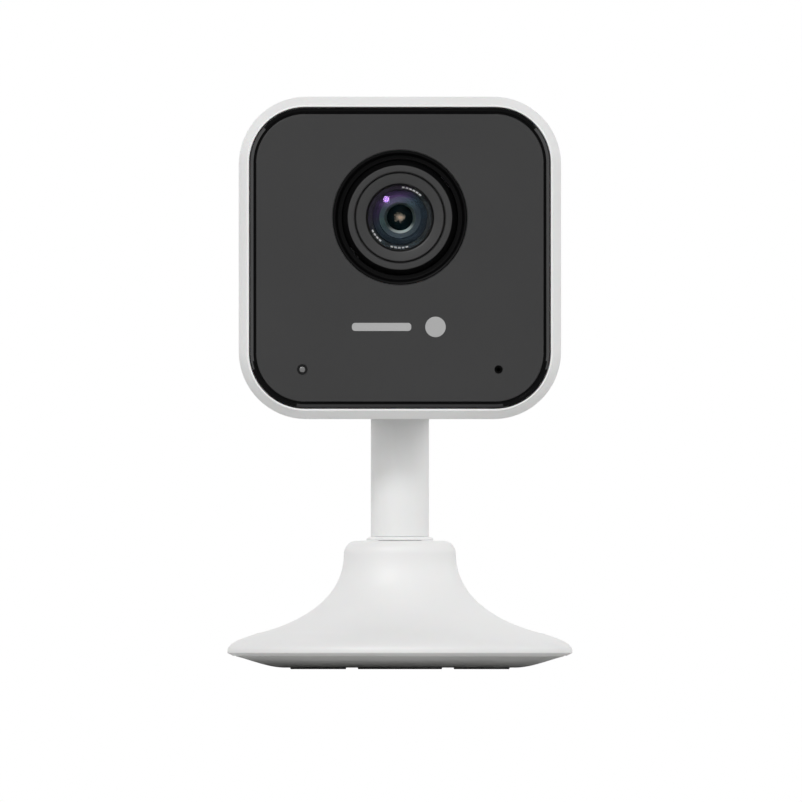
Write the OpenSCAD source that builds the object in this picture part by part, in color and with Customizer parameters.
// Small indoor security camera: a rounded square head on a tilting, turning stem
// that stands on a flared round base. Millimetres, +Z up, front towards -Y, and
// the origin at the centre of the face that the camera stands on.

/* [Head] */
// Width and height of the head at its widest
head_w = 59.8; // [58.6:0.2:61]
// Height of the head's centre above the table
head_z = 76.3; // [76:0.1:78]
// Corner radius of the head's outline
head_corner = 12.5; // [12:0.1:13]
// How far the casing narrows towards its front lip
lip_taper = 1.5; // [1:0.1:1.8]
// Radius of the rounded back edge
back_round = 8; // [7:0.5:9]
// Wall thickness of the casing
wall = 1.9; // [1.6:0.1:2]

/* [Front panel] */
// Half width of the opening that the panel sits in
opening_half = 28; // [27.8:0.05:28.1]
// Gap between the panel and the casing
panel_gap = 0.3; // [0.2:0.05:0.4]
// Width of the raised bead along the panel's edge
bead_w = 0.5; // [0.4:0.05:0.6]
// Width of the groove inside the bead
groove_w = 0.5; // [0.4:0.05:0.6]

/* [Lens] */
// Height of the lens axis above the table
lens_z = 83.8; // [83.5:0.1:84]
// Radius of the dark well around the lens
well_r = 12.5; // [12.3:0.1:12.7]
// Radius of the barrel's front ring
barrel_r = 9.7; // [9.5:0.1:9.9]
// Radius of the front lens element
lens_r = 5.9; // [5.7:0.1:6]

/* [Infrared filter] */
// Length of the lever that shifts the filter
lever_l = 7; // [6.8:0.1:7.2]
// Angle that the lever swings through
lever_swing = 50; // [46:1:52]

/* [Hinge] */
// Height of the tilt axis above the table
hinge_z = 54; // [53.8:0.1:54.2]
// Radius of the hinge pin
pin_r = 2; // [1.8:0.1:2.2]
// Running clearance between a shaft and its bore
running_fit = 0.04; // [0.03:0.01:0.06]

/* [Stem] */
// Diameter of the stem
stem_d = 10.8; // [10.6:0.1:11.1]
// Clearance beside the stem in the head's slot
slot_gap = 0.3; // [0.25:0.05:0.35]

/* [Base] */
// Diameter of the base at its rim
base_d = 64; // [63:0.5:65]
// Height of the base's top
base_top = 23.85; // [23.7:0.05:23.9]
// Radius of the base's neck
neck_r = 10.4; // [10.2:0.1:10.8]

/* [Hidden] */
$fn = 48;

white = "#eeeeec";
panel_black = "#2c2c2d";
deep_black = "#141415";
dark_grey = "#464648";
board_green = "#1f5a3a";
steel = "#b4b6b9";
rubber_grey = "#3a3a3b";

// Planes through the head, front to back
front_y = -20;
widest_y = -13;
seam_y = -15;
boss_y = seam_y + 1.8;
back_y = 16;
corner_c = head_w / 2 - head_corner;
panel_y = front_y + 0.4;
panel_t = 2;
shelf_y = panel_y + panel_t + 0.2;
panel_half = opening_half - panel_gap;
opening_corner = 10.4;
panel_corner = opening_corner - panel_gap;
tongue_half = 27.75;
board_y = -1.2;
board_t = 1.2;
inner_back_y = back_y - wall;

// Screw posts and boards
casing_post = 22.5;
casing_post_r = 2.6;
board_post_x = 16.5;
board_post_z = [70, 100];
post_r = 2.2;
port_z = 62;
reset_z = 65;
speaker_z = 83;
grille_pitch = 2.8;
grille_r = 0.75;
led_ring_r = 16;
led_count = 8;
mic_x = 18.3;
led_x = -18.1;
low_z = 55.6;
dome_r = 11.4;
rear_lens_r = 3.55;

// Filter drive: the pin swings evenly to both sides of the pivot's vertical
filter_y = -4.5;
filter_t = 0.6;
pivot_z = lens_z - 13;
travel = 2 * lever_l * sin(lever_swing / 2);
lever_pin_r = 0.6;

// Stem slot and hinge
stem_r = stem_d / 2;
slot_half = stem_r + slot_gap;
slot_front_y = -11.1;
slot_top_z = hinge_z + slot_half;
liner = 1.2;
knuckle_half = slot_half - 0.6;
knuckle_seat_z = 47.6;
bracket_z = 52;

// Base
base_r = base_d / 2;
shoulder_r = 2.4;
screw_ring_r = 18;
journal_r = 4;
bush_r = 6;

function steps(a, b, n) = [for (i = [0:n]) a + (b - a) * i / n];
function bezier(p, q, s, e, n) = [
    for (t = steps(0, 1, n))
        pow(1 - t, 3) * p + 3 * pow(1 - t, 2) * t * q + 3 * (1 - t) * t * t * s + pow(t, 3) * e
];
function arc(cx, cy, r, a, b, n) = [for (t = steps(a, b, n)) [cx + r * cos(t), cy + r * sin(t)]];

// Half width of the casing at depth y, moved inwards by inset
function front_half(y, inset) =
    head_w / 2 - inset - lip_taper * pow((widest_y - y) / (widest_y - front_y), 2);
function back_half(angle, inset) = head_w / 2 - back_round + (back_round - inset) * cos(angle);
function back_depth(angle, inset) = back_y - back_round + (back_round - inset) * sin(angle);

module block(lo, hi) translate(lo) cube(hi - lo);

module rod_y(r, y0, y1) translate([0, y0, 0]) rotate([-90, 0, 0]) cylinder(r = r, h = y1 - y0);

module rod_x(r, x0, x1) translate([x0, 0, 0]) rotate([0, 90, 0]) cylinder(r = r, h = x1 - x0);

module tube_y(r_out, r_in, y0, y1) difference() {
    rod_y(r_out, y0, y1);
    rod_y(r_in, y0 - 1, y1 + 1);
}

// A solid turned about the lens axis from [radius, depth] points
module turned_y(points) rotate([-90, 0, 0]) rotate_extrude($fn = 96) polygon(points);

module rounded_square(half, r) {
    square([2 * half, 2 * (half - r)], center = true);
    square([2 * (half - r), 2 * half], center = true);
    for (x = [-1, 1], z = [-1, 1]) translate([x, z] * (half - r)) circle(r);
}

// A flat rounded square across the head
module head_slab(half, r, y0, y1)
    translate([0, y0, head_z]) rotate([-90, 0, 0]) linear_extrude(y1 - y0) rounded_square(half, r);

// [half width, depth] points along the casing's side, front to back
function side_profile(inset, y0) = concat(
    [for (y = steps(y0, widest_y, 5)) [front_half(y, inset), y]],
    [for (a = steps(0, 90, 8)) [back_half(a, inset), back_depth(a, inset)]]
);

// A form of the head's outline whose half width follows the profile
module swept_form(profile) {
    first = profile[0];
    last = profile[len(profile) - 1];
    round_part = concat([[0, first[1]]], [for (p = profile) [p[0] - corner_c, p[1]]], [[0, last[1]]]);
    across = concat(profile, [for (i = [len(profile) - 1:-1:0]) [-profile[i][0], profile[i][1]]]);
    translate([0, 0, head_z]) {
        for (x = [-1, 1], z = [-1, 1]) translate([x * corner_c, 0, z * corner_c])
            rotate([-90, 0, 0]) rotate_extrude() polygon(round_part);
        for (a = [0, 90]) rotate([0, a, 0]) translate([0, 0, -corner_c])
            linear_extrude(2 * corner_c) polygon(across);
    }
}

// The casing's outer form (inset 0) or the space inside it, from y0 to the back
module casing_form(inset, y0) swept_form(side_profile(inset, y0));

module at_lens() translate([0, 0, lens_z]) children();

module at_casing_posts() for (x = [-1, 1], z = [-1, 1])
    translate([x * casing_post, 0, head_z + z * casing_post]) children();

module at_board_posts() for (x = [-1, 1], z = board_post_z) translate([x * board_post_x, 0, z]) children();

module at_ir_leds() at_lens() for (i = [0:led_count - 1])
    rotate([0, (i + 0.5) * 360 / led_count, 0]) translate([led_ring_r, 0, 0]) children();

// A round-headed screw along +Y with its head from y0 and its tip at y1
module screw_y(r, head_r, head_h, y0, y1) {
    difference() {
        rod_y(head_r, y0, y0 + head_h);
        for (a = [0, 90]) rotate([0, a, 0])
            block([-head_r * 0.6, y0 - 1, -head_r * 0.12], [head_r * 0.6, y0 + head_h / 2, head_r * 0.12]);
    }
    rod_y(r, y0 + head_h, y1);
}

// ---- Casing ----

module front_frame() color(white) difference() {
    union() {
        swept_form([for (y = steps(front_y, seam_y, 5)) [front_half(y, 0), y]]);
        difference() {
            head_slab(tongue_half, tongue_half - corner_c, seam_y, boss_y);
            head_slab(tongue_half - 1, tongue_half - 1 - corner_c, seam_y, 0);
        }
        at_casing_posts() rod_y(casing_post_r, seam_y, boss_y);
    }
    head_slab(opening_half, opening_corner, front_y - 1, shelf_y);
    at_lens() rod_y(well_r + 0.1, shelf_y - 1, seam_y + 1);
    at_ir_leds() rod_y(2.3, shelf_y - 1, seam_y + 1);
    at_casing_posts() rod_y(1.2, shelf_y - 1, boss_y + 1);
    at_casing_posts() rod_y(2.3, shelf_y - 1, shelf_y + 1.1);
    translate([led_x, 0, low_z]) {
        rod_y(0.95, shelf_y - 1, seam_y + 1);
        rod_y(1.3, -15.8, seam_y + 1);
    }
    translate([mic_x, 0, low_z]) rod_y(2.1, shelf_y - 1, seam_y + 1);
}

module stem_slot() block([-slot_half, slot_front_y, 40], [slot_half, back_y + 1, slot_top_z]);

module grille_holes() translate([0, 0, speaker_z]) {
    rod_y(grille_r, inner_back_y - 1, back_y + 1);
    for (ring = [1:2], i = [0:6 * ring - 1])
        rotate([0, i * 60 / ring, 0]) translate([ring * grille_pitch, 0, 0])
            rod_y(grille_r, inner_back_y - 1, back_y + 1);
}

module rear_shell() color(white) difference() {
    union() {
        difference() {
            casing_form(0, seam_y);
            casing_form(wall, seam_y - 0.01);
        }
        intersection() {
            casing_form(0, seam_y);
            block([-slot_half - liner, slot_front_y - liner, 46], [slot_half + liner, 15, slot_top_z + liner]);
        }
        difference() {
            union() {
                at_casing_posts() rod_y(casing_post_r, boss_y + 0.1, 12);
                at_board_posts() rod_y(post_r, board_y + board_t, 14.5);
            }
            at_casing_posts() rod_y(0.8, boss_y - 1, -5.5);
            at_board_posts() rod_y(0.8, -1, 6);
        }
        at_bracket_screws() difference() {
            translate([0, 0, 47.5]) cylinder(r = 2.4, h = bracket_z - 47.5);
            translate([0, 0, 48.6]) cylinder(r = 0.8, h = 4);
        }
    }
    stem_slot();
    grille_holes();
    translate([0, 0, hinge_z]) rod_x(pin_r + 0.1, -9, 9);
    // Inlet recess, card slot and reset hole
    block([9.4, back_y - 1, 62.2], [18.6, back_y + 1, 67]);
    block([10.1, inner_back_y - 1, 62.9], [17.9, back_y, 66.1]);
    block([-18.7, inner_back_y - 1, 63.1], [-6.3, back_y + 1, 64.6]);
    translate([0, 0, reset_z]) rod_y(1.3, inner_back_y - 1, back_y + 1);
}

module casing_screws() color(steel) at_casing_posts() screw_y(0.78, 2.1, 1, shelf_y + 0.1, -6);

// ---- Front panel ----

module front_panel() color(panel_black) difference() {
    head_slab(panel_half, panel_corner, panel_y - 0.1, panel_y + panel_t);
    // Step down inside the bead, then the groove
    head_slab(panel_half - bead_w, panel_corner - bead_w, panel_y - 1, panel_y);
    difference() {
        head_slab(panel_half - bead_w, panel_corner - bead_w, panel_y - 1, panel_y + 0.45);
        head_slab(panel_half - bead_w - groove_w, panel_corner - bead_w - groove_w,
                  panel_y - 2, panel_y + 1);
    }
    at_lens() rod_y(well_r, panel_y - 1, panel_y + panel_t + 1);
    translate([led_x, 0, low_z]) rod_y(0.95, panel_y - 1, panel_y + panel_t + 1);
    translate([mic_x, 0, low_z]) rod_y(0.75, panel_y - 1, panel_y + panel_t + 1);
}

module panel_adhesive() color(rubber_grey) difference() {
    head_slab(27.4, 9.8, panel_y + panel_t, shelf_y);
    head_slab(25.9, 8.3, panel_y, shelf_y + 1);
}

// ---- Lens ----

module lens_hood() color(deep_black) at_lens() turned_y([
    [10.75, -17.9], [11.7, -17.9], [12.05, -19.3], [12.45, -19.3], [12.45, -16.9], [10.75, -16.9]
]);

module lens_barrel() color(dark_grey) at_lens() turned_y([
    [8.36, -19.6], [8.5, -19.8], [barrel_r - 0.1, -19.8], [barrel_r, -19.7], [10.6, -17.6],
    [10.6, -16.2], [7, -16.2], [7, -6.8], [3.2, -6.8], [3.2, -9], [3.6, -9], [3.6, -12.4],
    [5, -12.4], [5, -13.2], [lens_r + 0.05, -15.6], [lens_r + 0.05, -18], [8.36, -18]
]);

module lens_retainer() color(dark_grey) at_lens() turned_y([
    [6.1, -19.0], [6.5, -19.25], [8.1, -19.35], [8.31, -19.2], [8.31, -18], [6.1, -18]
]);

// A dome in front and a shallow hollow behind
module front_lens() color("#20343c") at_lens() turned_y(concat(
    [[0, -15.4]], arc(0, dome_r - 19.3, dome_r, -90, -90 + asin(lens_r / dome_r), 12),
    [[lens_r, -15.8], [4, -15.8]]
));

module aperture_stop() color(deep_black) at_lens() tube_y(4.95, 2.4, -13.15, -12.5);

module rear_lens() color("#2a3b3f") at_lens() turned_y(concat(
    [[0, -11.6]], arc(0, -3.6, 8, -90, -90 + asin(rear_lens_r / 8), 6),
    arc(0, -17.6, 8, 90 - asin(rear_lens_r / 8), 90, 6)
));

module lens_holder() color(deep_black) at_lens() difference() {
    union() {
        rod_y(8.6, -13, -7);
        block([-11, -7, -9], [11, -5.8, 9]);
    }
    rod_y(7.02, -14, -6.5);
    rod_y(4.4, -8, -5);
    at_holder_screws() rod_y(1.05, -8, -5);
}

module at_holder_screws() for (s = [-1, 1]) translate([s * 9.2, 0, s * 7.2]) children();

module holder_screws() color(steel) at_lens() at_holder_screws() screw_y(0.98, 1.7, 0.8, -7.8, board_y - 0.05);

// ---- Infrared filter drive ----

module filter_housing() color(rubber_grey) at_lens() difference() {
    block([-11, -5.8, -17.5], [11, -2.6, 9]);
    // Space for the slider, its tab and the lever behind the tab
    block([-9.9, -4.65, -3.4], [9.9, -3.75, 3.4]);
    block([-5.2, -4.65, -16.5], [5.2, -3.75, -3]);
    block([-5.2, -4.65, -16.5], [5.2, -3.05, -4.6]);
    rod_y(2.9, -6.5, -1);
    translate([0, 0, pivot_z - lens_z]) rod_y(0.8 + running_fit, -6.5, -1);
    at_holder_screws() rod_y(1.02, -7, -1);
}

module filter_slider() color("#5b7c86") translate([travel / 2, filter_y, lens_z]) difference() {
    union() {
        block([-6.6, 0, -3.1], [6.6, filter_t, 3.1]);
        block([-1.7, 0, -8], [1.7, filter_t, -3]);
    }
    for (s = [-1, 1]) translate([s * travel / 2, 0, 0]) block([-2.6, -1, -2.3], [2.6, 0.2, 2.3]);
    block([-lever_pin_r - 0.1, -1, -7.5], [lever_pin_r + 0.1, 1, -5.1]);
}

module filter_lever() color("#8a8d90") translate([0, 0, pivot_z]) {
    rod_y(0.8, -9.4, -2.8);
    rod_y(1.9, -9.2, -6.1);
    rotate([0, lever_swing / 2, 0]) {
        block([-0.7, -3.7, 0], [0.7, -3.2, lever_l]);
        translate([0, 0, lever_l]) rod_y(lever_pin_r, -4.5, -3.2);
    }
}

// A winding on a bar between the two poles beside the lever's magnet
module filter_coil() color("#a8663a") translate([0, -7.7, pivot_z]) {
    translate([0, 0, -4.6]) rod_x(1.7, -3.2, 3.2);
    for (s = [-1, 1]) translate([s * 3.6, 0, 0]) block([-0.5, -1.2, -6], [0.5, 1.2, 1.6]);
}

// ---- Boards and parts on them ----

module image_sensor() color("#30363d") at_lens() difference() {
    block([-4.5, -2.5, -4.5], [4.5, board_y, 4.5]);
    block([-3.2, -3, -2.4], [3.2, -2.2, 2.4]);
}

module main_board() color(board_green) difference() {
    block([-19.5, board_y, 62.5], [19.5, board_y + board_t, 103]);
    at_board_posts() rod_y(1.1, -3, 2);
}

module processor() color(deep_black) block([-6.5, board_y + board_t, 76], [6.5, 1.1, 89]);

module shield_can() color(steel) difference() {
    block([-11, board_y + board_t, 72], [11, 2.2, 93]);
    block([-10.6, -1, 72.4], [10.6, 1.9, 92.6]);
    for (x = [-8:4:8]) translate([x, 0, 91]) rod_y(0.6, 1, 3);
}

module thermal_pad() color("#8fa3b5") block([-6, 1.1, 76.5], [6, 1.9, 88.5]);

module heat_spreader() color("#c3c6c8") difference() {
    union() {
        block([-13, 2.25, 70], [13, 3.25, 95]);
        for (x = [-12:4:12]) block([x - 0.4, 3.25, 70], [x + 0.4, 6, 95]);
    }
    block([-20, 2, 69], [-10.5, 7, 71]);
}

module board_screws() color(steel) at_board_posts() screw_y(0.78, 1.7, 0.8, board_y - 0.82, 5.5);

module ir_board() color(board_green) at_lens() tube_y(18.9, 12.8, -14.9, -13.9);

module ir_leds() color("#c9c3a8") at_ir_leds() {
    block([-1.5, -16, -1.5], [1.5, -14.9, 1.5]);
    translate([0, -16, 0]) rotate([90, 0, 0]) cylinder(r1 = 1.2, r2 = 0.7, h = 0.7);
}

module indicator_board() color(board_green) difference() {
    block([-19.7, -14.9, 51], [19.8, -13.9, 59.4]);
    at_lens() rod_y(19.3, -16, -13);
}

module status_led() color("#d8d8d0") block([led_x - 0.8, -15.6, low_z - 0.8], [led_x + 0.8, -14.9, low_z + 0.8]);

module light_pipe() color("#7c7c7c") translate([led_x, 0, low_z]) {
    rod_y(0.9, -19.5, -16.2);
    rod_y(0.55, -19.62, -19.5);
}

module microphone() color(steel) difference() {
    block([mic_x - 1.4, -16.1, low_z - 1.3], [mic_x + 1.4, -14.9, low_z + 1.3]);
    translate([mic_x, 0, low_z]) rod_y(0.4, -17, -15.6);
}

module mic_boot() color(rubber_grey) translate([mic_x, 0, low_z]) tube_y(2, 0.35, -17.5, -16.15);

module speaker() color(deep_black) translate([0, 0, speaker_z]) difference() {
    union() {
        rod_y(9, 9.6, 13.2);
        rod_y(5, 7.8, 9.6);
    }
    translate([0, 15.6, 0]) sphere(r = 5);
}

module speaker_gasket() color(rubber_grey) translate([0, 0, speaker_z]) tube_y(9, 7.4, 13.2, inner_back_y);

module wifi_antenna() color("#b07a3c") {
    block([-14, 2, 103.4], [14, 9, 103.9]);
    block([-1, 2, 101], [1, 2.6, 103.4]);
}

module port_board() color(board_green) block([-20.5, 0.6, port_z], [20.5, 13.8, port_z + 1]);

module usb_socket() color(steel) difference() {
    block([10.25, 9.4, port_z + 1], [17.75, 14.9, port_z + 4]);
    block([10.6, 11, port_z + 1.3], [17.4, 16, port_z + 3.7]);
}

module card_socket() color(steel) difference() {
    block([-19.5, 1.2, port_z + 1], [-5.5, 14, port_z + 2.9]);
    block([-18.2, 2.5, port_z + 1.3], [-6.8, 15, port_z + 2.3]);
}

module reset_switch() color(dark_grey) {
    block([-2.2, 8.6, port_z + 1], [2.2, 11.6, port_z + 4.4]);
    translate([0, 0, reset_z]) rod_y(0.7, 11.6, 12.2);
}

module reset_button() color("#d9d9d6") translate([0, 0, reset_z]) {
    rod_y(1.2, 12.8, back_y - 0.3);
    rod_y(1.9, 12.8, 13.5);
}

// ---- Tilt hinge ----

module at_bracket_screws() for (x = [-12, 12]) translate([x, 6.7, 0]) children();

module hinge_bracket() color(steel) difference() {
    union() {
        for (s = [-1, 1]) {
            block([s * 7.7 - 0.6, -13.6, 50.5], [s * 7.7 + 0.6, 9.7, 59.6]);
            block([s * 11.4 - 3.5, 3.7, bracket_z], [s * 11.4 + 3.5, 9.7, bracket_z + 1]);
        }
        block([-8.3, -13.6, 50.5], [8.3, -12.5, 59.6]);
    }
    translate([0, 0, hinge_z]) rod_x(pin_r + 0.02, -9, 9);
    at_bracket_screws() translate([0, 0, 51]) cylinder(r = 1.1, h = 3);
}

module bracket_screws() color(steel) at_bracket_screws() {
    translate([0, 0, bracket_z - 3]) cylinder(r = 0.78, h = 4);
    translate([0, 0, bracket_z + 1]) cylinder(r = 1.8, h = 0.9);
}

module hinge_pin() color(steel) translate([0, 0, hinge_z]) {
    rod_x(pin_r, -8.4, 10.2);
    rod_x(3.4, -10, -8.4);
}

module friction_washers() color("#6f7377") translate([0, 0, hinge_z]) for (s = [-1, 1])
    translate([s * (slot_half - 0.26), 0, 0]) difference() {
        rod_x(4.6, -0.24, 0.24);
        rod_x(pin_r + 0.02, -1, 1);
    }

module hinge_nut() color(steel) translate([0, 0, hinge_z]) difference() {
    translate([8.4, 0, 0]) rotate([0, 90, 0]) cylinder(r = 3.7, h = 1.8, $fn = 6);
    rod_x(pin_r + 0.01, 0, 12);
}

// ---- Stem ----

module hinge_knuckle() color(white) difference() {
    union() {
        intersection() {
            union() {
                translate([0, 0, hinge_z]) rod_x(stem_r - 0.1, -stem_r, stem_r);
                translate([0, 0, knuckle_seat_z]) cylinder(r = stem_r - 0.05, h = hinge_z - knuckle_seat_z);
            }
            block([-knuckle_half, -10, 40], [knuckle_half, 10, 62]);
        }
        translate([0, 0, 38]) cylinder(r = 4.45, h = knuckle_seat_z - 38);
    }
    translate([0, 0, hinge_z]) rod_x(pin_r + running_fit, -6, 6);
}

module stem_tube() color(white) difference() {
    translate([0, 0, 24.6]) cylinder(r = stem_r, h = knuckle_seat_z - 24.6, $fn = 96);
    translate([0, 0, 20]) cylinder(r = 4.5, h = 40);
}

module stem_collar() color(white) rotate_extrude($fn = 96) polygon(concat(
    [[4.5, 24], [6.05, 24]], arc(6.05, 24.15, 0.15, -60, 60, 4), [[5.75, 24.45], [5.6, 24.6], [4.5, 24.6]]
));

module swivel_shaft() color(steel) {
    translate([0, 0, 24]) cylinder(r = 4.45, h = 12);
    translate([0, 0, 11.3]) cylinder(r = journal_r, h = 12.8);
    translate([0, 0, 6.9]) cylinder(r = 3, h = 4.5);
}

module swivel_washer() color("#6f7377") translate([0, 0, 10.6]) difference() {
    cylinder(r = 7, h = 0.7);
    translate([0, 0, -1]) cylinder(r = 3.02, h = 3);
}

module swivel_nut() color(steel) translate([0, 0, 7.6]) difference() {
    cylinder(r = 5.6, h = 3, $fn = 6);
    translate([0, 0, -1]) cylinder(r = 3.01, h = 5);
}

// ---- Base ----

module swivel_bush() color(dark_grey) difference() {
    union() {
        translate([0, 0, 12]) cylinder(r = bush_r, h = 11.5);
        translate([0, 0, 11.45]) cylinder(r = 7.6, h = 0.75);
    }
    cylinder(r = journal_r + running_fit, h = 30);
}

module at_base_screws() for (i = [0:2]) rotate(i * 120) translate([0, -screw_ring_r, 0]) children();

module base_shell() color(white) difference() {
    union() {
        rotate_extrude($fn = 96) polygon(concat(
            [[bush_r + 0.02, 12.2], [bush_r + 0.02, base_top]],
            arc(neck_r - shoulder_r, base_top - shoulder_r, shoulder_r, 90, 0, 8),
            bezier([neck_r, 21.4], [neck_r, 9.75], [26.2, 6.76], [26.5, 6.65], 20),
            bezier([26.7, 6.58], [29.3, 5.75], [base_r, 4.9], [base_r, 3.4], 8),
            [[base_r, 3.05], [30.9, 2.5], [30.6, 2.5], [30.6, 3.3]],
            bezier([29, 3.4], [20, 6.6], [12.5, 8.6], [9.4, 16.5], 12),
            [[8, 16.5], [8, 12.2]]
        ));
        at_base_screws() translate([0, 0, 5.35]) cylinder(r = 2.4, h = 3.4);
    }
    at_base_screws() translate([0, 0, 4]) cylinder(r = 0.8, h = 4.2);
}

module base_plate() color("#c9c9c7") difference() {
    rotate_extrude($fn = 96) polygon(concat(
        [[0, 2.6], [0, 0.3], [21.6, 0.3]],
        bezier([21.6, 0.3], [24.5, 0.4], [27, 1.5], [30.4, 2.4], 6),
        [[30.4, 3.2], [28.6, 3.2], [26, 2.6]]
    ));
    pad_ring(0.2, 0.8);
    at_base_screws() {
        translate([0, 0, 0.5]) cylinder(r = 2.3, h = 1.3);
        cylinder(r = 1.3, h = 4);
    }
}

module ballast_plate() color("#8d9095") translate([0, 0, 2.65]) difference() {
    cylinder(r = 22, h = 2.6, $fn = 96);
    at_base_screws() translate([0, 0, -1]) cylinder(r = 1.6, h = 5);
    translate([0, 0, -1]) cylinder(r = 7.5, h = 5);
}

module base_screws() color(steel) at_base_screws() {
    translate([0, 0, 0.9]) cylinder(r = 2.1, h = 0.88);
    translate([0, 0, 1.78]) cylinder(r = 0.78, h = 6.2);
}

// Six arc pads around the base, from height z0 to z1
module pad_ring(z0, z1) difference() {
    translate([0, 0, z0]) cylinder(r = 20.5, h = z1 - z0, $fn = 96);
    translate([0, 0, z0 - 1]) cylinder(r = 15.5, h = 3, $fn = 96);
    for (i = [0:2]) rotate(i * 60 + 30) block([-2.6, -25, z0 - 1], [2.6, 25, z1 + 1]);
}

module foot_pads() color(rubber_grey) pad_ring(0, 0.78);

front_frame();
rear_shell();
front_panel();
panel_adhesive();
lens_hood();
lens_barrel();
lens_retainer();
front_lens();
rear_lens();
aperture_stop();
lens_holder();
holder_screws();
filter_housing();
filter_coil();
filter_lever();
filter_slider();
image_sensor();
main_board();
processor();
shield_can();
thermal_pad();
heat_spreader();
board_screws();
ir_board();
ir_leds();
indicator_board();
status_led();
light_pipe();
microphone();
mic_boot();
speaker();
speaker_gasket();
wifi_antenna();
port_board();
usb_socket();
card_socket();
reset_switch();
reset_button();
hinge_bracket();
bracket_screws();
hinge_pin();
friction_washers();
hinge_nut();
casing_screws();
hinge_knuckle();
stem_tube();
stem_collar();
swivel_shaft();
swivel_washer();
swivel_nut();
swivel_bush();
base_shell();
base_plate();
ballast_plate();
base_screws();
foot_pads();
